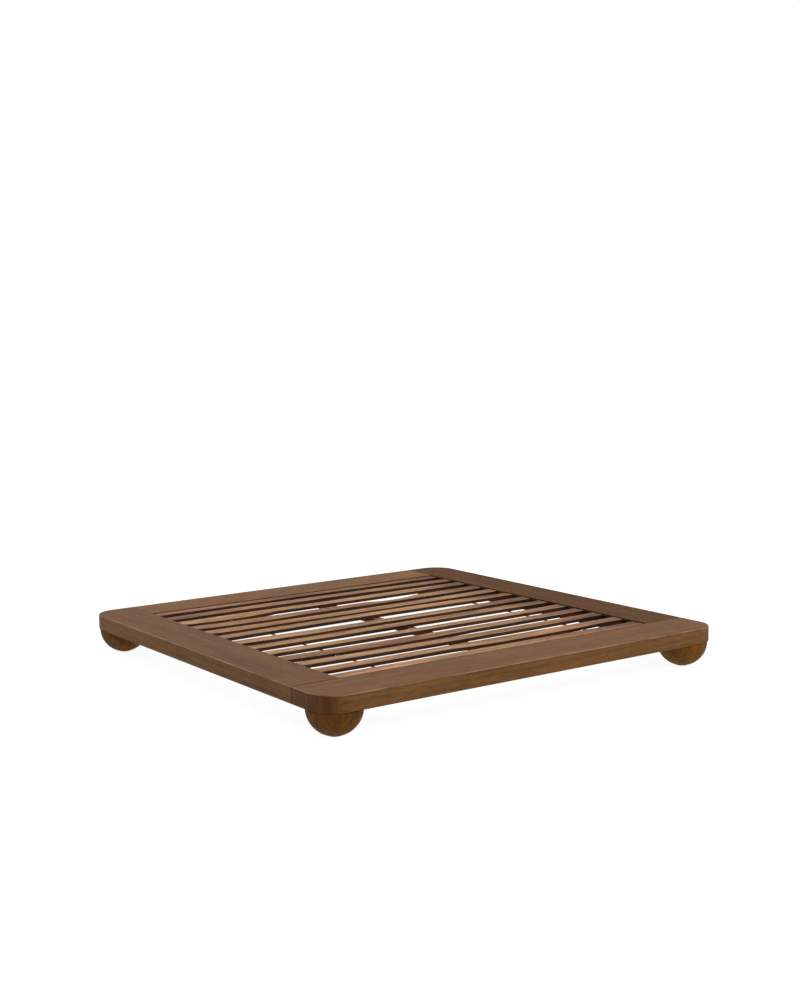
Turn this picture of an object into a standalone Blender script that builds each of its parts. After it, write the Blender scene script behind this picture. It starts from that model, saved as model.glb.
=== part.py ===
"""Slatted bath mat: a hardwood frame on four ball feet, with thin slats laid across it.

X runs along the front rail to the right, the front faces -Y and +Z is up. The origin is on the
floor under the middle of the mat. Every size is in metres.
"""
import math

import bmesh
import bpy
from mathutils import Matrix, Vector

# Overall size and the four rails
MAT_WIDTH = 0.600
MAT_DEPTH = 0.600
FRONT_RAIL_WIDTH = 0.069
BACK_RAIL_WIDTH = 0.061
SIDE_RAIL_WIDTH = 0.0625
RAIL_THICKNESS = 0.020
CORNER_RADIUS = 0.032
OUTER_TOP_ROUND = 0.0020
OUTER_BOTTOM_ROUND = 0.0010
INNER_TOP_ROUND = 0.0006

# Slats, counted from the back. The front one stands off the front rail, and the back one is
# ripped narrower to fill what is left. They are laid by hand: each may sit a little off its line,
# and its middle is pinned a little off straight. Both are towards the back where positive.
SLAT_COUNT = 13
SLAT_WIDTH = 0.018
SLAT_THICKNESS = 0.0045
SLAT_DROP = 0.0012
SLAT_EDGE_ROUND = 0.0006
BACK_SLAT_WIDTH = 0.0155
FRONT_SLAT_GAP = 0.005
SLAT_SHIFTS = [0, -0.0005, 0.0025, 0.002, 0.0025, 0.002, 0.001,
               0.001, 0.0005, 0.002, 0.002, 0, 0]
SLAT_BOWS = [0, 0.0035, -0.001, -0.005, -0.0045, 0.0045, -0.0047,
             0.0005, -0.003, -0.0035, -0.004, -0.001, 0]
TONGUE_LENGTH = 0.008
TONGUE_THICKNESS = 0.002
SHOULDER_GAP = 0.0005  # between a slat's shoulder and the side rail, so that it can swell

# What holds the slats from below
BATTEN_WIDTH = 0.013
BATTEN_THICKNESS = 0.007
BATTEN_TENON = 0.008
ROD_RADIUS = 0.001
ROD_OFFSET = 0.165
ROD_PROUD = 0.0006
ROD_END_DEPTH = 0.010
PIN_RADIUS = 0.0008
PIN_HEAD_RADIUS = 0.0018
PIN_HEAD_THICKNESS = 0.0008
PIN_BITE = 0.0022

# Corner dowels, two to a joint
DOWEL_RADIUS = 0.004
DOWEL_LENGTH = 0.040
DOWEL_EDGE_DISTANCE = 0.018
DOWEL_STUD_DISTANCE = 0.0097  # from a foot's stud to the inner dowel beside it, at the back
DOWEL_CHAMFER = 0.0008

# Ball feet, with the stud that screws each one on and the pad it stands on
FOOT_RADIUS = 0.0325
FOOT_SETBACK = 0.0008  # from the rails' outer sides in to each ball's side
STUD_RADIUS = 0.003
STUD_IN_FOOT = 0.014
STUD_IN_RAIL = 0.012
STUD_CHAMFER = 0.0008
PAD_RADIUS = 0.008
PAD_THICKNESS = 0.002
PAD_PROUD = 0.0005

FIT_GAP = 0.0003  # between pieces that touch, and all round what sits in a hole

FOOT_INSET = FOOT_RADIUS + FOOT_SETBACK
FOOT_FLAT_RADIUS = PAD_RADIUS + FIT_GAP
FOOT_CENTRE_Z = PAD_PROUD + math.sqrt(FOOT_RADIUS ** 2 - FOOT_FLAT_RADIUS ** 2)
RAIL_BOTTOM = FOOT_CENTRE_Z + FIT_GAP
RAIL_TOP = RAIL_BOTTOM + RAIL_THICKNESS
SLAT_TOP = RAIL_TOP - SLAT_DROP
SLAT_BOTTOM = SLAT_TOP - SLAT_THICKNESS
BATTEN_TOP = SLAT_BOTTOM - FIT_GAP
BATTEN_BOTTOM = BATTEN_TOP - BATTEN_THICKNESS
ROD_Z = SLAT_BOTTOM - ROD_PROUD + ROD_RADIUS

HALF_WIDTH = MAT_WIDTH / 2
HALF_DEPTH = MAT_DEPTH / 2
INNER_LEFT = SIDE_RAIL_WIDTH - HALF_WIDTH
INNER_RIGHT = -INNER_LEFT
INNER_FRONT = FRONT_RAIL_WIDTH - HALF_DEPTH
INNER_BACK = HALF_DEPTH - BACK_RAIL_WIDTH
FIRST_SLAT_Y = INNER_FRONT + FRONT_SLAT_GAP
LAST_SLAT_Y = INNER_BACK - FIT_GAP - BACK_SLAT_WIDTH
SLAT_PITCH = (LAST_SLAT_Y - FIRST_SLAT_Y) / (SLAT_COUNT - 1)
CORNERS = {"front_left": (-1, -1), "front_right": (1, -1),
           "back_left": (-1, 1), "back_right": (1, 1)}

CORNER_SEGMENTS = 10
ROUND_SEGMENTS = 3
FOOT_ARC_SEGMENTS = 9
FOOT_STEPS = 32
SMALL_STEPS = 12
BOW_SEGMENTS = 8


def clear_scene():
    for thing in list(bpy.data.objects):
        bpy.data.objects.remove(thing, do_unlink=True)


def make_collection(name):
    collection = bpy.data.collections.new(name)
    bpy.context.scene.collection.children.link(collection)
    return collection


def make_material(name, colour, roughness, metallic=0.0):
    material = bpy.data.materials.new(name)
    material.use_nodes = True
    shader = material.node_tree.nodes["Principled BSDF"]
    shader.inputs["Base Color"].default_value = (*colour, 1.0)
    shader.inputs["Roughness"].default_value = roughness
    shader.inputs["Metallic"].default_value = metallic
    return material


def add_object(name, shape, material, smooth=False):
    """Puts a bmesh in the mat's collection as one named piece."""
    mesh = bpy.data.meshes.new(name)
    shape.to_mesh(mesh)
    shape.free()
    mesh.materials.append(material)
    if smooth:
        mesh.shade_smooth()
        mesh.set_sharp_from_angle(angle=math.radians(30))
    piece = bpy.data.objects.new(name, mesh)
    mat_parts.objects.link(piece)
    return piece


def add_cutter(name, shape):
    mesh = bpy.data.meshes.new(name)
    shape.to_mesh(mesh)
    shape.free()
    cutter = bpy.data.objects.new(name, mesh)
    cutter.hide_render = True
    cutter.display_type = "WIRE"
    cutters.objects.link(cutter)
    return cutter


def cut(piece, *tools):
    for tool in tools:
        boolean = piece.modifiers.new(tool.name, "BOOLEAN")
        boolean.operation = "DIFFERENCE"
        boolean.solver = "EXACT"
        boolean.object = tool


def box(low, high):
    shape = bmesh.new()
    bmesh.ops.create_cube(shape, size=1.0)
    low, high = Vector(low), Vector(high)
    bmesh.ops.scale(shape, vec=high - low, verts=shape.verts)
    bmesh.ops.translate(shape, vec=(low + high) / 2, verts=shape.verts)
    return shape


def rod(start, end, radius, steps=SMALL_STEPS):
    """A plain round bar between two points."""
    start, end = Vector(start), Vector(end)
    shape = bmesh.new()
    bmesh.ops.create_cone(shape, cap_ends=True, segments=steps, radius1=radius,
                          radius2=radius, depth=(end - start).length)
    turn = Vector((0, 0, 1)).rotation_difference(end - start).to_matrix().to_4x4()
    shape.transform(Matrix.Translation((start + end) / 2) @ turn)
    shape.normal_update()
    return shape


def chamfered_rod(start, end, radius, chamfer):
    shape = rod(start, end, radius)
    rims = [edge for edge in shape.edges if any(len(face.verts) > 4 for face in edge.link_faces)]
    round_edges(shape, rims, chamfer, 1)
    return shape


def round_edges(shape, edges, width, segments):
    bmesh.ops.bevel(shape, geom=edges, offset=width, offset_type="OFFSET", segments=segments,
                    profile=0.5, affect="EDGES", clamp_overlap=True, material=-1)


def edges_where(shape, test):
    """The edges whose two ends both pass a test on their place."""
    return [edge for edge in shape.edges if all(test(vert.co) for vert in edge.verts)]


def near(a, b):
    return abs(a - b) < 1e-6


def round_corners(shape, corners):
    """Rounds the upright edges at the mat's own corners, as (x sign, y sign)."""
    upright = []
    for x_side, y_side in corners:
        upright += edges_where(shape, lambda p: near(p.x, x_side * HALF_WIDTH)
                               and near(p.y, y_side * HALF_DEPTH))
    round_edges(shape, upright, CORNER_RADIUS, CORNER_SEGMENTS)


def on_outside(point):
    """True on the mat's outer wall, its round corners included."""
    x, y = abs(point.x), abs(point.y)
    x_centre, y_centre = HALF_WIDTH - CORNER_RADIUS, HALF_DEPTH - CORNER_RADIUS
    if x > x_centre - 1e-6 and y > y_centre - 1e-6:
        return math.hypot(x - x_centre, y - y_centre) > CORNER_RADIUS - 1e-4
    return near(x, HALF_WIDTH) or near(y, HALF_DEPTH)


def soften_rail(shape, on_inside):
    """Eases a rail's long edges: the outer ones more than those beside the slats."""
    round_edges(shape, edges_where(shape, lambda p: near(p.z, RAIL_TOP) and on_outside(p)),
                OUTER_TOP_ROUND, ROUND_SEGMENTS)
    round_edges(shape, edges_where(shape, lambda p: near(p.z, RAIL_BOTTOM) and on_outside(p)),
                OUTER_BOTTOM_ROUND, 1)
    round_edges(shape, edges_where(shape, lambda p: near(p.z, RAIL_TOP) and on_inside(p)),
                INNER_TOP_ROUND, 1)


def front_rail():
    shape = box((-HALF_WIDTH, -HALF_DEPTH, RAIL_BOTTOM), (HALF_WIDTH, INNER_FRONT, RAIL_TOP))
    round_corners(shape, [(-1, -1), (1, -1)])
    soften_rail(shape, lambda p: near(p.y, INNER_FRONT))
    return add_object("front_rail", shape, frame_wood)


def back_rail():
    shape = box((INNER_LEFT + FIT_GAP, INNER_BACK, RAIL_BOTTOM),
                (INNER_RIGHT - FIT_GAP, HALF_DEPTH, RAIL_TOP))
    soften_rail(shape, lambda p: near(p.y, INNER_BACK))
    return add_object("back_rail", shape, frame_wood)


def side_rail(name, side):
    """A rail from the front rail's back face to the back of the mat; side is -1 or 1."""
    inner = side * INNER_RIGHT
    xs = sorted((inner, side * HALF_WIDTH))
    shape = box((xs[0], INNER_FRONT + FIT_GAP, RAIL_BOTTOM), (xs[1], HALF_DEPTH, RAIL_TOP))
    round_corners(shape, [(side, 1)])
    soften_rail(shape, lambda p: near(p.x, inner))
    return add_object(name, shape, frame_wood)


def slat_groove(name, side):
    """The groove in a side rail that takes the tongues of all the slats."""
    inner = side * INNER_RIGHT
    floor = inner + side * (TONGUE_LENGTH + FIT_GAP)
    mouth = inner - side * FIT_GAP
    xs = sorted((floor, mouth))
    low = (xs[0], INNER_FRONT - FIT_GAP, SLAT_BOTTOM - FIT_GAP)
    high = (xs[1], INNER_BACK, SLAT_BOTTOM + TONGUE_THICKNESS + FIT_GAP)
    return add_cutter(name, box(low, high))


def slat_front_y(index):
    return LAST_SLAT_Y - index * SLAT_PITCH + SLAT_SHIFTS[index]


def slat_width(index):
    return BACK_SLAT_WIDTH if index == 0 else SLAT_WIDTH


def slat_middle_y(index):
    """Where the slat's centre line crosses the middle of the mat, bow included."""
    return slat_front_y(index) + slat_width(index) / 2 + SLAT_BOWS[index]


def slat(index):
    """One slat, its ends reaching into the side rails' grooves and its middle bowed sideways."""
    reach = INNER_RIGHT + TONGUE_LENGTH
    front = slat_front_y(index)
    shape = box((-reach, front, SLAT_BOTTOM), (reach, front + slat_width(index), SLAT_TOP))
    round_edges(shape, edges_where(shape, lambda p: near(p.z, SLAT_TOP)), SLAT_EDGE_ROUND, 1)
    if SLAT_BOWS[index]:
        bow_slat(shape, SLAT_BOWS[index])
    return add_object(f"slat_{index:02d}", shape, slat_wood)


def bow_slat(shape, bow):
    """Bends a slat sideways between the side rails, most at mid-span."""
    for step in range(BOW_SEGMENTS + 1):
        x = INNER_LEFT + step * (INNER_RIGHT - INNER_LEFT) / BOW_SEGMENTS
        bmesh.ops.bisect_plane(shape, geom=shape.verts[:] + shape.edges[:] + shape.faces[:],
                               plane_co=(x, 0, 0), plane_no=(1, 0, 0))
    for vert in shape.verts:
        along = min(abs(vert.co.x) / INNER_RIGHT, 1.0)
        vert.co.y += bow * (1 - along ** 2)


def shoulder_cut(name, side):
    """Takes the upper part off every slat's end, which leaves its tongue."""
    shoulder = side * (INNER_RIGHT - SHOULDER_GAP)
    beyond = side * (INNER_RIGHT + 2 * TONGUE_LENGTH)
    xs = sorted((shoulder, beyond))
    low = (xs[0], -HALF_DEPTH, SLAT_BOTTOM + TONGUE_THICKNESS)
    return add_cutter(name, box(low, (xs[1], HALF_DEPTH, RAIL_TOP)))


def rod_kerf(name, side):
    """The saw cut across the slats' undersides that a tie rod lies in."""
    half = ROD_RADIUS + FIT_GAP
    x = side * ROD_OFFSET
    low = (x - half, -HALF_DEPTH, SLAT_BOTTOM - SLAT_THICKNESS)
    return add_cutter(name, box(low, (x + half, HALF_DEPTH, ROD_Z + half)))


def tie_rod(name, side):
    x = side * ROD_OFFSET
    start = (x, INNER_FRONT - ROD_END_DEPTH, ROD_Z)
    end = (x, INNER_BACK + ROD_END_DEPTH, ROD_Z)
    return add_object(name, rod(start, end, ROD_RADIUS), steel, smooth=True)


def rod_hole(name, side, y, direction):
    """A blind hole in the front or back rail for a tie rod's end."""
    x = side * ROD_OFFSET
    start = (x, y - direction * FIT_GAP, ROD_Z)
    end = (x, y + direction * (ROD_END_DEPTH + FIT_GAP), ROD_Z)
    return add_cutter(name, rod(start, end, ROD_RADIUS + FIT_GAP))


def centre_batten():
    low = (-BATTEN_WIDTH / 2, INNER_FRONT - BATTEN_TENON, BATTEN_BOTTOM)
    high = (BATTEN_WIDTH / 2, INNER_BACK + BATTEN_TENON, BATTEN_TOP)
    return add_object("centre_batten", box(low, high), slat_wood)


def batten_housing(name, y, direction):
    """The pocket in the front or back rail for the batten's end."""
    half = BATTEN_WIDTH / 2 + FIT_GAP
    ys = sorted((y - direction * FIT_GAP, y + direction * (BATTEN_TENON + FIT_GAP)))
    low = (-half, ys[0], BATTEN_BOTTOM - FIT_GAP)
    return add_cutter(name, box(low, (half, ys[1], BATTEN_TOP + FIT_GAP)))


def turned(name, profile, steps, material):
    """Turns a profile of (radius, height) points round Z; it runs down the outer side."""
    mesh = bpy.data.meshes.new(name)
    points = [(radius, 0, height) for radius, height in profile]
    mesh.from_pydata(points, [(i, i + 1) for i in range(len(points) - 1)], [])
    mesh.materials.append(material)
    piece = bpy.data.objects.new(name, mesh)
    mat_parts.objects.link(piece)
    screw = piece.modifiers.new("turn", "SCREW")
    screw.steps = screw.render_steps = steps
    screw.use_merge_vertices = True
    screw.merge_threshold = 0.00001
    screw.use_smooth_shade = True
    return piece


def batten_pin(index):
    """A headed pin up through the batten into one slat."""
    head_top = -FIT_GAP
    head_bottom = head_top - PIN_HEAD_THICKNESS
    tip = FIT_GAP + BATTEN_THICKNESS + PIN_BITE
    profile = [(0, tip), (PIN_RADIUS, tip - PIN_RADIUS), (PIN_RADIUS, head_top),
               (PIN_HEAD_RADIUS, head_top), (PIN_HEAD_RADIUS, head_bottom), (0, head_bottom)]
    pin = turned(f"batten_pin_{index:02d}", profile, SMALL_STEPS, steel)
    pin.location = (0, slat_middle_y(index), BATTEN_BOTTOM)
    return pin


def pin_hole(index):
    y = slat_middle_y(index)
    top = SLAT_BOTTOM + PIN_BITE + FIT_GAP
    start = (0, y, BATTEN_BOTTOM - FIT_GAP)
    return add_cutter(f"pin_hole_{index:02d}", rod(start, (0, y, top), PIN_RADIUS + FIT_GAP))


def foot_profile():
    """From the bottom of the stud hole, out along the top and down the ball to the pad's seat."""
    hole = STUD_RADIUS + FIT_GAP
    hole_floor = -STUD_IN_FOOT - FIT_GAP
    sole = PAD_PROUD - FOOT_CENTRE_Z
    seat = PAD_THICKNESS + FIT_GAP - FOOT_CENTRE_Z
    last = math.acos(FOOT_FLAT_RADIUS / FOOT_RADIUS)
    ball = [(FOOT_RADIUS * math.cos(last * step / FOOT_ARC_SEGMENTS),
             -FOOT_RADIUS * math.sin(last * step / FOOT_ARC_SEGMENTS))
            for step in range(FOOT_ARC_SEGMENTS)]
    lip = FOOT_FLAT_RADIUS
    return ([(0, hole_floor), (hole, hole_floor), (hole, 0)] + ball
            + [(lip + FIT_GAP, sole), (lip, sole), (lip, seat), (0, seat)])


def foot(corner, x, y):
    ball = turned(f"foot_{corner}", foot_profile(), FOOT_STEPS, foot_wood)
    ball.location = (x, y, FOOT_CENTRE_Z)
    return ball


def foot_pad(corner, x, y):
    shape = chamfered_rod((x, y, 0), (x, y, PAD_THICKNESS), PAD_RADIUS, PAD_PROUD / 2)
    return add_object(f"foot_pad_{corner}", shape, rubber, smooth=True)


def foot_stud(corner, x, y):
    low = (x, y, FOOT_CENTRE_Z - STUD_IN_FOOT)
    high = (x, y, RAIL_BOTTOM + STUD_IN_RAIL)
    shape = chamfered_rod(low, high, STUD_RADIUS, STUD_CHAMFER)
    return add_object(f"foot_stud_{corner}", shape, steel, smooth=True)


def stud_hole(corner, x, y):
    top = RAIL_BOTTOM + STUD_IN_RAIL + FIT_GAP
    start = (x, y, RAIL_BOTTOM - FIT_GAP)
    return add_cutter(f"stud_hole_{corner}", rod(start, (x, y, top), STUD_RADIUS + FIT_GAP))


def joint_dowels(corner, x_side, y_side):
    """Two dowels across one corner joint, with the hole that each one sits in."""
    middle_z = RAIL_BOTTOM + RAIL_THICKNESS / 2
    if y_side < 0:
        along = Vector((0, 1, 0))
        joint_y = INNER_FRONT + FIT_GAP / 2
        xs = (INNER_RIGHT + DOWEL_EDGE_DISTANCE, HALF_WIDTH - DOWEL_EDGE_DISTANCE)
        centres = [Vector((x_side * x, joint_y, middle_z)) for x in xs]
    else:
        along = Vector((1, 0, 0))
        joint_x = x_side * (INNER_RIGHT - FIT_GAP / 2)
        ys = (HALF_DEPTH - FOOT_INSET - DOWEL_STUD_DISTANCE, HALF_DEPTH - DOWEL_EDGE_DISTANCE)
        centres = [Vector((joint_x, y, middle_z)) for y in ys]
    holes = []
    for number, place in enumerate(centres, start=1):
        name = f"dowel_{corner}_{number}"
        half = along * DOWEL_LENGTH / 2
        room = along * (DOWEL_LENGTH / 2 + FIT_GAP)
        shape = chamfered_rod(place - half, place + half, DOWEL_RADIUS, DOWEL_CHAMFER)
        add_object(name, shape, dowel_wood, smooth=True)
        hole = rod(place - room, place + room, DOWEL_RADIUS + FIT_GAP)
        holes.append(add_cutter(f"{name}_hole", hole))
    return holes


def build_mat():
    front, back = front_rail(), back_rail()
    sides = {-1: side_rail("left_rail", -1), 1: side_rail("right_rail", 1)}
    cut(front, batten_housing("front_housing", INNER_FRONT, -1))
    cut(back, batten_housing("back_housing", INNER_BACK, 1))
    slat_tools = []
    for word, side in (("left", -1), ("right", 1)):
        tie_rod(f"{word}_tie_rod", side)
        cut(front, rod_hole(f"{word}_front_rod_hole", side, INNER_FRONT, -1))
        cut(back, rod_hole(f"{word}_back_rod_hole", side, INNER_BACK, 1))
        cut(sides[side], slat_groove(f"{word}_groove", side))
        slat_tools += [shoulder_cut(f"{word}_shoulder", side), rod_kerf(f"{word}_kerf", side)]
    batten = centre_batten()
    for index in range(SLAT_COUNT):
        hole = pin_hole(index)
        cut(slat(index), *slat_tools, hole)
        cut(batten, hole)
        batten_pin(index)
    for corner, (x_side, y_side) in CORNERS.items():
        x, y = x_side * (HALF_WIDTH - FOOT_INSET), y_side * (HALF_DEPTH - FOOT_INSET)
        foot(corner, x, y)
        foot_pad(corner, x, y)
        foot_stud(corner, x, y)
        cut(front if y_side < 0 else sides[x_side], stud_hole(corner, x, y))
        holes = joint_dowels(corner, x_side, y_side)
        cut(front if y_side < 0 else back, *holes)
        cut(sides[x_side], *holes)


clear_scene()
mat_parts = make_collection("bath_mat")
cutters = make_collection("cutters")
frame_wood = make_material("stained_frame_wood", (0.17, 0.095, 0.055), 0.55)
slat_wood = make_material("pale_slat_wood", (0.33, 0.19, 0.11), 0.55)
foot_wood = make_material("turned_foot_wood", (0.15, 0.075, 0.035), 0.45)
dowel_wood = make_material("dowel_beech", (0.55, 0.40, 0.25), 0.65)
steel = make_material("bronzed_steel", (0.28, 0.20, 0.13), 0.40, 0.9)
rubber = make_material("pad_rubber", (0.04, 0.035, 0.03), 0.8)
build_mat()
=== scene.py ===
"""A slatted hardwood bath mat on four ball feet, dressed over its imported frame.

Metres throughout: X runs right along the front rail, -Y is the front and the floor is z = 0.
"""

import math

import bmesh
import bpy
from mathutils import Matrix, Vector


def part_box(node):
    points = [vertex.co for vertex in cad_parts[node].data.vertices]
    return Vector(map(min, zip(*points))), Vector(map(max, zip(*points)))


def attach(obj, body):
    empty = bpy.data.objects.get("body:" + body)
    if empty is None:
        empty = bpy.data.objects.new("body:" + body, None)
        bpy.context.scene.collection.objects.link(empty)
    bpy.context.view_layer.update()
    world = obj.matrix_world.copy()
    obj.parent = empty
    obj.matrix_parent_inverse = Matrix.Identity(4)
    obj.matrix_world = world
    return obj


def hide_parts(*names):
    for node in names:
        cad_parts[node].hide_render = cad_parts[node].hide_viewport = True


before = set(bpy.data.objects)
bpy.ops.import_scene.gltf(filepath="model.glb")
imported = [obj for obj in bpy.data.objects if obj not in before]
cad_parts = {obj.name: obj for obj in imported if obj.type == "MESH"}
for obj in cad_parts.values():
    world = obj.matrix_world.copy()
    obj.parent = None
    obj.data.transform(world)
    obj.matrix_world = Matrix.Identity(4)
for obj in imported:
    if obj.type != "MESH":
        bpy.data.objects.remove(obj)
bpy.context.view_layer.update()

FIT_GAP = 0.0003
CLOSE = 1e-5  # places nearer than this are the same place
ARC_SLACK = 1e-4  # how far a facet's middle may lie inside its arc
SHARP_ANGLE = math.radians(35)
SQUARE_ON = 0.99  # the least cosine between a face's normal and a direction that it looks along

# Studio. The camera stands above the level of the rails' top, turned right, down and a little askew
CAMERA_LENS = 53.865
CAMERA_PLACE = (-1.12123, -1.60702, 0.40036)
CAMERA_HEADING = -0.61442
CAMERA_TILT = 0.12253
CAMERA_ROLL = -0.0139
SKY_COLOUR = (1.0, 0.985, 0.97, 1.0)
SKY_STRENGTH = 1.04
FLOOR_RADIUS = 60
FLOOR_SEGMENTS = 96
FLOOR_GLOW = 0.92

# Rails
CORNER_RADIUS = 0.032
CORNER_SEGMENTS = 24
OUTER_TOP_ROUND = 0.0012
OUTER_BOTTOM_ROUND = 0.0010
INNER_TOP_ROUND = 0.0006
ROUND_SEGMENTS = 4
FINE_SEGMENTS = 2

# Slats, counted from the back: how far each middle is pinned off straight, towards the back
SLAT_BOWS = [0, 0.0035, -0.001, -0.005, -0.0045, 0.0045, -0.0047,
             0.0005, -0.003, -0.0035, -0.004, -0.001, 0]
# Warped stretches of slats: (from x, to x, rise of the front edge, rise of the back edge)
SLAT_WARPS = {2: [(-0.237, -0.095, -0.0020, 0)],
              3: [(-0.237, -0.080, -0.0010, 0), (0.045, 0.125, 0, -0.0020),
                  (0.030, 0.237, -0.0005, 0)],
              4: [(-0.237, -0.140, -0.0007, 0)],
              6: [(-0.237, -0.060, -0.0006, 0)],
              8: [(-0.237, 0.237, 0.0003, -0.0005)],
              9: [(-0.237, 0.040, -0.0016, -0.0002), (-0.237, 0.237, -0.0002, -0.0003)],
              11: [(-0.040, 0.188, -0.0015, 0)]}
WARP_SHAPE = 0.6  # under 1, a warp keeps near its full rise over most of its stretch
SLAT_ROUND = 0.0005
SLAT_ROUND_SEGMENTS = 3
SLAT_STATIONS = 60
TONGUE_LENGTH = 0.008
TONGUE_THICKNESS = 0.002
SHOULDER_GAP = 0.0005
GROOVE_SETBACK = 0.003
ROD_OFFSET = 0.165
KERF_HALF_WIDTH = 0.0013

# Feet
FOOT_ARC_SEGMENTS = 28
FOOT_STEPS = 72
FOOT_RIM_ROUND = 0.0006
STUD_HOLE_RADIUS = 0.0033
STUD_HOLE_DEPTH = 0.0143
PAD_SEAT_RADIUS = 0.0083
PAD_SEAT_DEPTH = 0.0018

BATTEN_ROUND = 0.0006

# How each board was cut: its tone, its redness and where in the log it came from. The right rail's low
# tone is painted shade, for light that falls off towards the right.
RAIL_BOARDS = {"front_rail": (0.94, 0.35, 1.0), "back_rail": (1.12, 0.35, 7.0),
               "left_rail": (0.86, 0.35, 13.0), "right_rail": (0.62, 0.60, 19.0)}
SLAT_BOARDS = [(0.66, 0.50, 2.0), (0.74, 0.65, 5.0), (0.96, 0.20, 8.0), (0.77, 0.70, 11.0),
               (0.95, 0.25, 14.0), (1.02, 0.20, 17.0), (0.86, 0.35, 20.0), (1.00, 0.20, 23.0),
               (1.00, 0.20, 26.0), (0.92, 0.30, 29.0), (0.82, 0.40, 32.0), (0.96, 0.25, 35.0),
               (0.92, 0.45, 38.0)]
BATTEN_BOARD = (0.50, 0.50, 41.0)
FOOT_BOARDS = {"front_left": (0.95, 0.35, 44.0), "front_right": (1.30, 0.15, 47.0),
               "back_left": (1.00, 0.30, 50.0), "back_right": (1.00, 0.40, 53.0)}

front_low, front_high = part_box("front_rail")
back_low, back_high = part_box("back_rail")
left_low, left_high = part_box("left_rail")
right_low, right_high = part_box("right_rail")
RAIL_TOP = front_high.z


# ---- Camera, light and floor ----

def set_camera():
    camera = bpy.data.cameras.new("camera")
    camera.lens = CAMERA_LENS
    stand = bpy.data.objects.new("camera", camera)
    bpy.context.scene.collection.objects.link(stand)
    x, y, height = CAMERA_PLACE
    place = Matrix.Translation((x, y, RAIL_TOP + height))
    heading = Matrix.Rotation(CAMERA_HEADING, 4, "Z")
    tilt = Matrix.Rotation(math.pi / 2 - CAMERA_TILT, 4, "X")
    stand.matrix_world = place @ heading @ tilt @ Matrix.Rotation(CAMERA_ROLL, 4, "Z")
    bpy.context.scene.camera = stand


def soft_light(name, place, size, power, colour):
    """A square lamp aimed at the middle of the mat."""
    lamp = bpy.data.lights.new(name, "AREA")
    lamp.size = size
    lamp.energy = power
    lamp.color = colour
    stand = bpy.data.objects.new(name, lamp)
    stand.location = place
    stand.rotation_euler = (-Vector(place)).to_track_quat("-Z", "Y").to_euler()
    bpy.context.scene.collection.objects.link(stand)


def light_studio():
    world = bpy.data.worlds.new("studio")
    world.use_nodes = True
    sky = world.node_tree.nodes["Background"]
    sky.inputs["Color"].default_value = SKY_COLOUR
    sky.inputs["Strength"].default_value = SKY_STRENGTH
    bpy.context.scene.world = world
    soft_light("overhead", (-0.3, 0.6, 2.6), 2.4, 26, (1.0, 0.98, 0.95))
    soft_light("front", (1.8, -3.0, 1.9), 1.6, 58, (1.0, 0.95, 0.88))
    bpy.context.scene.view_settings.view_transform = "Standard"


def studio_floor():
    shape = bmesh.new()
    bmesh.ops.create_circle(shape, cap_ends=True, segments=FLOOR_SEGMENTS, radius=FLOOR_RADIUS)
    floor = new_piece("studio_floor", shape, floor_paint())


# ---- Shaping ----

def new_piece(name, shape, material):
    """Puts a bmesh in the scene as an object at the origin."""
    mesh = bpy.data.meshes.new(name)
    shape.to_mesh(mesh)
    shape.free()
    mesh.materials.append(material)
    piece = bpy.data.objects.new(name, mesh)
    bpy.context.scene.collection.objects.link(piece)
    return piece


def soften_shading(piece):
    """Rounds look round and flats stay flat."""
    piece.data.shade_smooth()
    piece.data.set_sharp_from_angle(angle=SHARP_ANGLE)
    weighted = piece.modifiers.new("flat_faces_first", "WEIGHTED_NORMAL")
    weighted.keep_sharp = True


def mark_board(piece, board):
    """Writes a board's tone, redness and place in the log on its mesh, for its material."""
    mark = piece.data.attributes.new("board", "FLOAT_VECTOR", "POINT")
    for point in mark.data:
        point.vector = board


def dress(piece, node):
    """Lets a piece stand for its CAD node, on the mat's one body."""
    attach(piece, "root")
    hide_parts(node)


def board_shape(low, high):
    shape = bmesh.new()
    bmesh.ops.create_cube(shape, size=1.0)
    bmesh.ops.scale(shape, vec=high - low, verts=shape.verts)
    bmesh.ops.translate(shape, vec=(low + high) / 2, verts=shape.verts)
    return shape


def edges_where(shape, test):
    """The edges whose two ends both pass a test on their place."""
    return [edge for edge in shape.edges if all(test(vert.co) for vert in edge.verts)]


def near(a, b):
    return abs(a - b) < CLOSE


def round_edges(shape, edges, width, segments):
    bmesh.ops.bevel(shape, geom=edges, offset=width, offset_type="OFFSET", segments=segments,
                    profile=0.5, affect="EDGES", clamp_overlap=True, material=-1)


def spin_profile(shape, profile, steps):
    """Turns (radius, height) points round the Z axis into a closed skin."""
    verts = [shape.verts.new((radius, 0, height)) for radius, height in profile]
    edges = [shape.edges.new(pair) for pair in zip(verts, verts[1:])]
    bmesh.ops.spin(shape, geom=verts + edges, cent=(0, 0, 0), axis=(0, 0, 1),
                   angle=math.tau, steps=steps, use_merge=True)
    bmesh.ops.remove_doubles(shape, verts=shape.verts, dist=CLOSE / 10)
    bmesh.ops.recalc_face_normals(shape, faces=shape.faces)


def on_outside(point):
    """True on the mat's outer wall, its round corners included."""
    x, y = abs(point.x), abs(point.y)
    x_centre, y_centre = front_high.x - CORNER_RADIUS, left_high.y - CORNER_RADIUS
    if x > x_centre - CLOSE and y > y_centre - CLOSE:
        return math.hypot(x - x_centre, y - y_centre) > CORNER_RADIUS - ARC_SLACK
    return near(x, front_high.x) or near(y, left_high.y)


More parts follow.
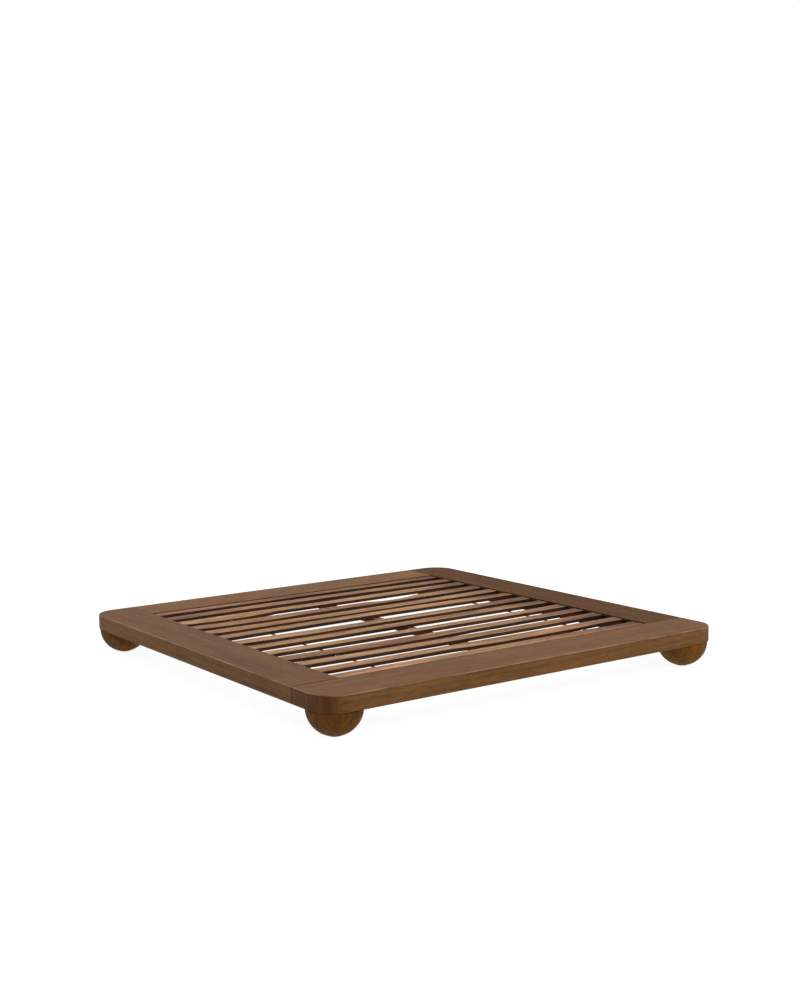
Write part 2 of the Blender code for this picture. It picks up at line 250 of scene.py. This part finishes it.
def shape_rail(low, high, corners, on_inside):
    """A rail with its share of the mat's round corners, (x, y) each, and its edges eased."""
    shape = board_shape(low, high)
    for x, y in corners:
        round_edges(shape, edges_where(shape, lambda p: near(p.x, x) and near(p.y, y)),
                    CORNER_RADIUS, CORNER_SEGMENTS)
    outer_top = edges_where(shape, lambda p: near(p.z, high.z) and on_outside(p))
    round_edges(shape, outer_top, OUTER_TOP_ROUND, ROUND_SEGMENTS)
    outer_bottom = edges_where(shape, lambda p: near(p.z, low.z) and on_outside(p))
    round_edges(shape, outer_bottom, OUTER_BOTTOM_ROUND, ROUND_SEGMENTS)
    inner_top = edges_where(shape, lambda p: near(p.z, high.z) and on_inside(p))
    round_edges(shape, inner_top, INNER_TOP_ROUND, FINE_SEGMENTS)
    return shape


def slice_at(shape, place, plane):
    """Adds an edge all round a shape where a plane crosses it."""
    bmesh.ops.bisect_plane(shape, geom=shape.verts[:] + shape.edges[:] + shape.faces[:],
                           plane_co=place, plane_no=plane)


def sink_pocket(shape, low, high, push):
    """Pushes the part of a flat face that lies between two corners into the wood."""
    for axis in range(3):
        if push[axis]:
            continue
        for end in (low, high):
            plane = Vector((0, 0, 0))
            plane[axis] = 1
            slice_at(shape, plane * end[axis], plane)
    inward = push.normalized()
    for face in list(shape.faces):
        centre = face.calc_center_median()
        inside = all(low[axis] - CLOSE < centre[axis] < high[axis] + CLOSE for axis in range(3))
        if inside and face.normal.dot(-inward) > SQUARE_ON:
            pushed = bmesh.ops.extrude_discrete_faces(shape, faces=[face])["faces"]
            verts = list({vert for one in pushed for vert in one.verts})
            bmesh.ops.translate(shape, vec=push, verts=verts)


# ---- The mat's pieces ----

def build_rails():
    slat_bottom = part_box("slat_06")[0].z
    batten_low, batten_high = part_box("centre_batten")
    groove_bottom = slat_bottom - FIT_GAP
    groove_top = slat_bottom + TONGUE_THICKNESS + FIT_GAP

    front = shape_rail(front_low, front_high, [(front_low.x, front_low.y),
                       (front_high.x, front_low.y)], lambda p: near(p.y, front_high.y))
    back = shape_rail(back_low, back_high, [], lambda p: near(p.y, back_low.y))
    for shape, y, push in ((front, front_high.y, -1), (back, back_low.y, 1)):
        low = Vector((batten_low.x - FIT_GAP, y, batten_low.z - FIT_GAP))
        high = Vector((batten_high.x + FIT_GAP, y, batten_high.z + FIT_GAP))
        sink_pocket(shape, low, high, Vector((0, push * (TONGUE_LENGTH + FIT_GAP), 0)))
    shapes = {"front_rail": front, "back_rail": back}
    for name, low, high, inner, outer, push in (
            ("left_rail", left_low, left_high, left_high.x, left_low.x, -1),
            ("right_rail", right_low, right_high, right_low.x, right_high.x, 1)):
        shape = shape_rail(low, high, [(outer, high.y)], lambda p: near(p.x, inner))
        first = Vector((inner, low.y + GROOVE_SETBACK, groove_bottom))
        last = Vector((inner, back_low.y, groove_top))
        sink_pocket(shape, first, last, Vector((push * (TONGUE_LENGTH + FIT_GAP), 0, 0)))
        shapes[name] = shape
    across = board_wood("frame_wood_across", FRAME_COLOURS, "X", RAIL_BOLDNESS)
    deep = board_wood("frame_wood_deep", FRAME_COLOURS, "Y", RAIL_BOLDNESS)
    dimmed = board_wood("frame_wood_dull", FRAME_COLOURS, "Y", RAIL_BOLDNESS, sheen=FAINT_SHEEN)
    finishes = {"front_rail": across, "back_rail": across, "left_rail": deep, "right_rail": dimmed}
    for name, shape in shapes.items():
        rail = new_piece(name.replace("rail", "board"), shape, finishes[name])
        mark_board(rail, RAIL_BOARDS[name])
        soften_shading(rail)
        dress(rail, name)


def slat_side(low, high, kerf_top):
    """A slat's outline seen from the front, as (x, z), tongues and rod kerfs included."""
    shoulder = right_low.x - SHOULDER_GAP
    tongue_top = low.z + TONGUE_THICKNESS
    outline = [(low.x, low.z)]
    for middle in (-ROD_OFFSET, ROD_OFFSET):
        near_side, far_side = middle - KERF_HALF_WIDTH, middle + KERF_HALF_WIDTH
        outline += [(near_side, low.z), (near_side, kerf_top),
                    (far_side, kerf_top), (far_side, low.z)]
    outline += [(high.x, low.z), (high.x, tongue_top), (shoulder, tongue_top),
                (shoulder, high.z), (-shoulder, high.z), (-shoulder, tongue_top),
                (low.x, tongue_top)]
    return outline


def build_slat(index, material):
    """One slat: its outline drawn out to its width, its top eased, then bowed as it was pinned."""
    name = f"slat_{index:02d}"
    low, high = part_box(name)
    bow = SLAT_BOWS[index]
    front, back = low.y - min(bow, 0), high.y - max(bow, 0)
    kerf_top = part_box("left_tie_rod")[1].z + FIT_GAP
    shape = bmesh.new()
    verts = [shape.verts.new((x, front, z)) for x, z in slat_side(low, high, kerf_top)]
    side = shape.faces.new(verts)
    drawn = bmesh.ops.extrude_face_region(shape, geom=[side])["geom"]
    moved = [part for part in drawn if isinstance(part, bmesh.types.BMVert)]
    bmesh.ops.translate(shape, vec=(0, back - front, 0), verts=moved)
    bmesh.ops.recalc_face_normals(shape, faces=shape.faces)
    top_edges = edges_where(shape, lambda p: near(p.z, high.z))
    round_edges(shape, top_edges, SLAT_ROUND, SLAT_ROUND_SEGMENTS)
    for step in range(1, SLAT_STATIONS):
        x = left_high.x + step * (right_low.x - left_high.x) / SLAT_STATIONS
        slice_at(shape, (x, 0, 0), (1, 0, 0))
    for vert in shape.verts:
        along = min(abs(vert.co.x) / right_low.x, 1.0)
        across = (vert.co.y - front) / (back - front)
        for start, end, front_rise, back_rise in SLAT_WARPS.get(index, []):
            share = (vert.co.x - start) / (end - start)
            if 0 < share < 1:
                rise = front_rise * (1 - across) + back_rise * across
                vert.co.z += rise * math.sin(math.pi * share) ** WARP_SHAPE
        vert.co.y += bow * (1 - along ** 2)
    slat = new_piece(f"lath_{index:02d}", shape, material)
    mark_board(slat, SLAT_BOARDS[index])
    soften_shading(slat)
    dress(slat, name)


def build_batten(material):
    low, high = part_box("centre_batten")
    shape = board_shape(low, high)
    bottom_edges = edges_where(shape, lambda p: near(p.z, low.z))
    round_edges(shape, bottom_edges, BATTEN_ROUND, FINE_SEGMENTS)
    batten = new_piece("middle_batten", shape, material)
    mark_board(batten, BATTEN_BOARD)
    soften_shading(batten)
    dress(batten, "centre_batten")


def build_foot(corner, material):
    """A turned ball with a flat top, a stud hole down its middle and a seat for its pad."""
    node = f"foot_{corner}"
    low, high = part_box(node)
    centre = (low + high) / 2
    radius = (high.x - low.x) / 2
    top = high.z
    last = math.acos(PAD_SEAT_RADIUS / radius)
    profile = [(0, top - STUD_HOLE_DEPTH), (STUD_HOLE_RADIUS, top - STUD_HOLE_DEPTH),
               (STUD_HOLE_RADIUS, top), (radius - FOOT_RIM_ROUND, top)]
    first = FOOT_RIM_ROUND / radius
    for step in range(FOOT_ARC_SEGMENTS + 1):
        angle = first + (last - first) * step / FOOT_ARC_SEGMENTS
        profile.append((radius * math.cos(angle), top - radius * math.sin(angle)))
    seat = low.z + PAD_SEAT_DEPTH
    profile += [(PAD_SEAT_RADIUS, seat), (0, seat)]
    shape = bmesh.new()
    spin_profile(shape, profile, FOOT_STEPS)
    bmesh.ops.translate(shape, vec=(centre.x, centre.y, 0), verts=shape.verts)
    foot = new_piece(f"ball_{corner}", shape, material)
    mark_board(foot, FOOT_BOARDS[corner])
    soften_shading(foot)
    dress(foot, node)


def finish_hardware():
    """The pieces that keep their CAD shape: rods, pins, studs, dowels and pads."""
    steel, rubber, beech = bronzed_steel(), pad_rubber(), raw_beech()
    for name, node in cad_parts.items():
        if node.hide_render:
            continue
        if name.startswith("foot_pad"):
            finish = rubber
        elif name.startswith("dowel"):
            finish = beech
        else:
            finish = steel
        node.data.materials.clear()
        node.data.materials.append(finish)


# ---- Finishes ----

class Wire:
    """A value in a material, on which a written sum adds Math nodes."""

    def __init__(self, socket):
        self.socket = socket

    def work(self, operation, *values, clamp=False):
        tree = self.socket.id_data
        step = tree.nodes.new("ShaderNodeMath")
        step.operation = operation
        step.use_clamp = clamp
        for entry, value in zip(step.inputs, values):
            if isinstance(value, Wire):
                tree.links.new(value.socket, entry)
            else:
                entry.default_value = value
        return Wire(step.outputs[0])

    def __add__(self, other):
        return self.work("ADD", self, other)

    def __sub__(self, other):
        return self.work("SUBTRACT", self, other)

    def __rsub__(self, other):
        return self.work("SUBTRACT", other, self)

    def __mul__(self, other):
        return self.work("MULTIPLY", self, other)

    def __abs__(self):
        return self.work("ABSOLUTE", self)

    __radd__ = __add__
    __rmul__ = __mul__

    def clamped(self):
        return self.work("ADD", self, 0.0, clamp=True)

    def or_more(self, other):
        """The larger of two values."""
        return self.work("MAXIMUM", self, other)


class Finish:
    """One material being made up."""

    def __init__(self, name, constants=None):
        self.material = bpy.data.materials.new(name)
        self.material.use_nodes = True
        self.tree = self.material.node_tree
        self.shader = self.tree.nodes["Principled BSDF"]
        self.plug(self.shader, constants or {})

    def plug(self, node, inputs):
        for key, value in inputs.items():
            entry = node.inputs[key] if isinstance(key, int) else next(
                socket for socket in node.inputs if socket.name == key and socket.enabled)
            if isinstance(value, Wire):
                self.tree.links.new(value.socket, entry)
            elif entry.type == "RGBA":
                entry.default_value = (*value, 1.0)
            else:
                entry.default_value = value

    def node(self, kind, inputs=None, settings=None, out=None):
        """Adds a node, its settings first, and gives one of its outputs."""
        made = self.tree.nodes.new(f"ShaderNode{kind}")
        for name, value in (settings or {}).items():
            if name == "stops":
                self.set_stops(made.color_ramp, value)
            else:
                setattr(made, name, value)
        self.plug(made, inputs or {})
        if out:
            return Wire(made.outputs[out])
        return Wire(next(socket for socket in made.outputs if socket.enabled))

    @staticmethod
    def set_stops(ramp, stops):
        while len(ramp.elements) < len(stops):
            ramp.elements.new(1.0)
        for element, (place, colour) in zip(ramp.elements, stops):
            element.position = place
            element.color = (*colour, 1.0)

    def parts(self, vector):
        """The three numbers of a vector."""
        first = self.node("SeparateXYZ", {"Vector": vector})
        return [Wire(socket) for socket in first.socket.node.outputs]

    def noise(self, place, scale, detail=2.0, rough=0.5, lean=0.0):
        """Soft noise from 0 to 1 on coordinates stretched by three scales."""
        stretched = self.node("VectorMath", {0: place, 1: scale}, {"operation": "MULTIPLY"})
        return self.node("TexNoise", {"Vector": stretched, "Scale": 1.0, "Detail": detail,
                                      "Roughness": rough, "Distortion": lean})

    def mix(self, below, above, share, blend="MIX"):
        return self.node("Mix", {"Factor": share, "A": below, "B": above},
                         {"data_type": "RGBA", "blend_type": blend})

    def ramp(self, value, low, high):
        """0 below low, 1 above high and smooth between."""
        return self.node("MapRange", {"Value": value, "From Min": low, "From Max": high},
                         {"interpolation_type": "SMOOTHSTEP"})

    def grey(self, value):
        return self.node("CombineXYZ", {"X": value, "Y": value, "Z": value})

    def done(self, colour, roughness, relief=None, strength=0, depth=0):
        """Plugs the finish in, with its relief, if any, as bumps of a depth in metres."""
        self.plug(self.shader, {"Base Color": colour, "Roughness": roughness})
        if relief:
            bump = self.node("Bump", {"Height": relief, "Strength": strength, "Distance": depth})
            self.plug(self.shader, {"Normal": bump})
        return self.material


# The colours of each wood's figure, dark to light
FRAME_COLOURS = [(0.24, (0.036, 0.014, 0.0028)), (0.44, (0.092, 0.039, 0.0092)),
                 (0.58, (0.130, 0.057, 0.0148)), (0.78, (0.200, 0.098, 0.032))]
SLAT_COLOURS = [(0.26, (0.060, 0.025, 0.009)), (0.42, (0.180, 0.090, 0.040)),
                (0.58, (0.290, 0.158, 0.077)), (0.76, (0.470, 0.300, 0.180))]
FOOT_COLOURS = [(0.22, (0.022, 0.0078, 0.0016)), (0.42, (0.055, 0.0212, 0.0036)),
                (0.60, (0.090, 0.0366, 0.0062)), (0.82, (0.180, 0.080, 0.018))]
# Upper arrises: partly real wear, partly a painted highlight where the rounded edge catches the light
WORN_EDGE_HIGHLIGHT = (0.27, 0.185, 0.125)

# Colours that the figure is multiplied by
PLAIN_TINT = (0.97, 1.04, 0.98)
RED_TINT = (1.10, 0.88, 0.80)
PORE_TINT = (0.45, 0.40, 0.36)
END_GRAIN_TINT = (0.72, 0.64, 0.52)
CORNER_TINT = (0.72, 0.66, 0.58)
GLOW_TINT = (1.55, 1.30, 0.95)
# Painted shade: darkens the upright faces and undersides of slats and batten, which sit in shade
SIDE_SHADE = (0.13, 0.075, 0.042)
# Painted shade on the rails' inner walls, where the slats shade them
INNER_WALL_SHADE = (0.42, 0.34, 0.30)
# Painted shade that darkens the slats towards their right ends
END_SHADE = (0.54, 0.46, 0.41)

PORE_SHARE = 0.45
END_GRAIN_SHARE = 0.9
WORN_HIGHLIGHT_SHARE = 0.65
WALL_REDNESS = 0.2
RAIL_BOLDNESS = 0.5
FOOT_BOLDNESS = 0.6
SOFT_SHEEN = 0.12
FAINT_SHEEN = 0.04

END_SHADE_REACH = (0.150, 0.248)  # from x to x, where shade is painted over the slats' right ends
INNER_WALL_REACH = (0.262, 0.278)  # walls nearer the middle than this face the slats
WALL_TO_TOP = (0.15, 0.70)  # the normal's Z, from an upright face to one that faces up
GRAIN_TURN = {"X": (0, 0, 0), "Y": (0, 0, -math.pi / 2), "Z": (0, math.pi / 2, 0)}


def figure_of(finish, place, boldness):
    """(figure, fibres, pores) of wood whose grain runs along the first coordinate."""
    sweep = finish.noise(place, (3.4, 24, 24), 3.0, 0.55, 0.5)
    streaks = finish.noise(place, (6, 230, 230), 4.0, 0.65, 0.3)
    fibres = finish.noise(place, (30, 900, 900), 3.0, 0.6)
    mottle = finish.noise(place, (14, 30, 30), 3.0, 0.6)
    flecks = finish.noise(place, (80, 420, 420), 3.0, 0.6)
    pores = finish.ramp(finish.noise(place, (70, 1700, 1700), 1.0), 0.60, 0.72)
    mixed = streaks * 0.95 + sweep * 0.60 + mottle * 0.35 + fibres * 0.25 - 1.075
    figure = mixed * boldness + flecks * 0.35 + 0.325
    return figure, fibres, pores


def board_place(finish, along):
    """(place in the log with the grain along its first coordinate, tone, redness) of a board."""
    board = finish.node("Attribute", settings={"attribute_name": "board"}, out="Vector")
    tone, redness, seed = finish.parts(board)
    turned = finish.node("Mapping", {"Vector": finish.node("TexCoord", out="Object"),
                                     "Rotation": GRAIN_TURN[along]})
    shift = finish.node("CombineXYZ", {"X": seed * 0.71, "Y": seed * 0.37, "Z": seed * 0.19})
    place = finish.node("VectorMath", {0: turned, 1: shift}, {"operation": "ADD"})
    return place, tone, redness


def stained(finish, colour, redness, tone, pores):
    """A board's own tint and tone over its figure, with darker pores."""
    tint = finish.mix(PLAIN_TINT, RED_TINT, redness)
    colour = finish.mix(colour, tint, 1.0, "MULTIPLY")
    colour = finish.mix(colour, finish.grey(tone), 1.0, "MULTIPLY")
    return finish.mix(colour, PORE_TINT, pores * PORE_SHARE, "MULTIPLY")


def board_wood(name, colours, along, boldness=1.0, shaded_sides=False, shaded_ends=False, sheen=SOFT_SHEEN):
    """Oiled hardwood with the grain along X or Y. Shade is painted on slats' sides and undersides, and
    on rails' inner walls.
    """
    finish = Finish(name, {"Specular IOR Level": sheen})
    place, tone, redness = board_place(finish, along)
    figure, fibres, pores = figure_of(finish, place, boldness)
    normal = finish.parts(finish.node("NewGeometry", out="Normal"))
    x, y, _ = finish.parts(finish.node("TexCoord", out="Object"))

    end_grain = finish.ramp(abs(normal[0 if along == "X" else 1]), 0.35, 0.85)
    rings = finish.noise(place, (90, 110, 12), 3.0, 0.5, 0.3)
    cut_figure = figure * (1 - end_grain) + (rings * 0.7 + 0.12) * end_grain
    colour = finish.node("ValToRGB", {"Fac": cut_figure}, {"stops": colours})

    blush = finish.noise(place, (7, 34, 34), 2.0) * 2 - 1
    upward = finish.ramp(normal[2], 0.2, 0.8)
    reddened = (redness + blush).clamped() * upward + (1 - upward) * WALL_REDNESS
    colour = stained(finish, colour, reddened, tone, pores)

    colour = finish.mix(colour, END_GRAIN_TINT, end_grain * END_GRAIN_SHARE, "MULTIPLY")
    corner = finish.ramp(abs(normal[0] * normal[1]), 0.20, 0.50)
    colour = finish.mix(colour, CORNER_TINT, corner, "MULTIPLY")
    # Painted shade: darkens the slats towards their right ends, next to the right rail
    if shaded_ends:
        wander = finish.noise(place, (25, 120, 120), 2.0) * 0.030
        dimmed = finish.ramp(x + wander, *END_SHADE_REACH)
        colour = finish.mix(colour, END_SHADE, dimmed, "MULTIPLY")
    wall = 1 - finish.ramp(normal[2], *WALL_TO_TOP)
    # Painted shade: the slats' and batten's upright faces and undersides are darkened
    if shaded_sides:
        colour = finish.mix(colour, SIDE_SHADE, wall, "MULTIPLY")
    else:
        # Painted shade: the rails' inner walls facing the slats are darkened
        inner = 1 - finish.ramp(abs(x).or_more(abs(y)), *INNER_WALL_REACH)
        colour = finish.mix(colour, INNER_WALL_SHADE, inner * wall, "MULTIPLY")

    # Upper arrises only: partly real wear, partly a painted highlight; the lower arrises are left dark
    arris = finish.ramp(normal[2], 0.12, 0.5) * (1 - finish.ramp(normal[2], 0.90, 0.995))
    worn_highlight = arris * finish.ramp(finish.noise(place, (40, 60, 60), 3.0), 0.30, 0.62)
    colour = finish.mix(colour, WORN_EDGE_HIGHLIGHT, worn_highlight * WORN_HIGHLIGHT_SHARE)
    roughness = 0.54 + fibres * 0.16 + pores * 0.15 + end_grain * 0.12 - worn_highlight * 0.06
    relief = fibres * 0.6 + figure * 0.5 - pores * 0.8
    return finish.done(colour, roughness, relief, 0.35, 0.0004)


def turned_wood(name):
    """The feet: warm wood with upright grain and fine rings from the lathe."""
    finish = Finish(name, {"Specular IOR Level": 0.05})
    place, tone, redness = board_place(finish, "Z")
    figure, fibres, pores = figure_of(finish, place, FOOT_BOLDNESS)
    colour = finish.node("ValToRGB", {"Fac": figure}, {"stops": FOOT_COLOURS})
    glow = finish.ramp(finish.noise(place, (22, 45, 45), 2.0, 0.5, 0.5), 0.48, 0.68)
    colour = finish.mix(colour, GLOW_TINT, glow * 0.7, "MULTIPLY")
    colour = stained(finish, colour, redness, tone, pores)
    height = finish.parts(finish.node("TexCoord", out="Object"))[2]
    lathe = finish.node("TexNoise", {"W": height * 1400}, {"noise_dimensions": "1D"})
    roughness = 0.50 + fibres * 0.18 + pores * 0.15
    relief = fibres * 0.5 + lathe * 0.25 - pores * 0.6
    return finish.done(colour, roughness, relief, 0.3, 0.0004)


def bronzed_steel():
    finish = Finish("bronzed_steel", {"Metallic": 0.85})
    place = finish.node("TexCoord", out="Object")
    haze = finish.noise(place, (300, 60, 300), 3.0, 0.6)
    colour = finish.mix((0.050, 0.030, 0.017), (0.12, 0.075, 0.045), haze)
    return finish.done(colour, 0.38 + haze * 0.2, haze, 0.2, 0.0001)


def pad_rubber():
    finish = Finish("pad_rubber")
    place = finish.node("TexCoord", out="Object")
    speck = finish.noise(place, (1500, 1500, 1500), 2.0)
    colour = finish.mix((0.018, 0.017, 0.016), (0.040, 0.037, 0.034), speck)
    return finish.done(colour, 0.78 + speck * 0.15, speck, 0.3, 0.0002)


def raw_beech():
    finish = Finish("raw_beech")
    place = finish.node("TexCoord", out="Object")
    fleck = finish.noise(place, (700, 700, 90), 3.0)
    colour = finish.mix((0.50, 0.34, 0.20), (0.66, 0.49, 0.32), fleck)
    return finish.done(colour, 0.6 + fleck * 0.15, fleck, 0.2, 0.0002)


def floor_paint():
    """The opal top of a light table: it glows, so the mat throws hardly any shadow on it."""
    finish = Finish("floor_paint", {"Emission Color": (1.0, 1.0, 1.0),
                                    "Emission Strength": FLOOR_GLOW, "Specular IOR Level": 0.0})
    place = finish.node("TexCoord", out="Object")
    speck = finish.noise(place, (30, 30, 30), 3.0)
    colour = finish.mix((0.17, 0.17, 0.17), (0.20, 0.20, 0.20), speck)
    return finish.done(colour, 0.85 + speck * 0.1)


set_camera()
light_studio()
studio_floor()
build_rails()
slat_wood = board_wood("slat_wood_across", SLAT_COLOURS, "X", shaded_sides=True, shaded_ends=True)
for slat_index in range(len(SLAT_BOARDS)):
    build_slat(slat_index, slat_wood)
build_batten(board_wood("batten_wood", SLAT_COLOURS, "Y", shaded_sides=True))
foot_wood = turned_wood("foot_wood_turned")
for corner_name in FOOT_BOARDS:
    build_foot(corner_name, foot_wood)
finish_hardware()
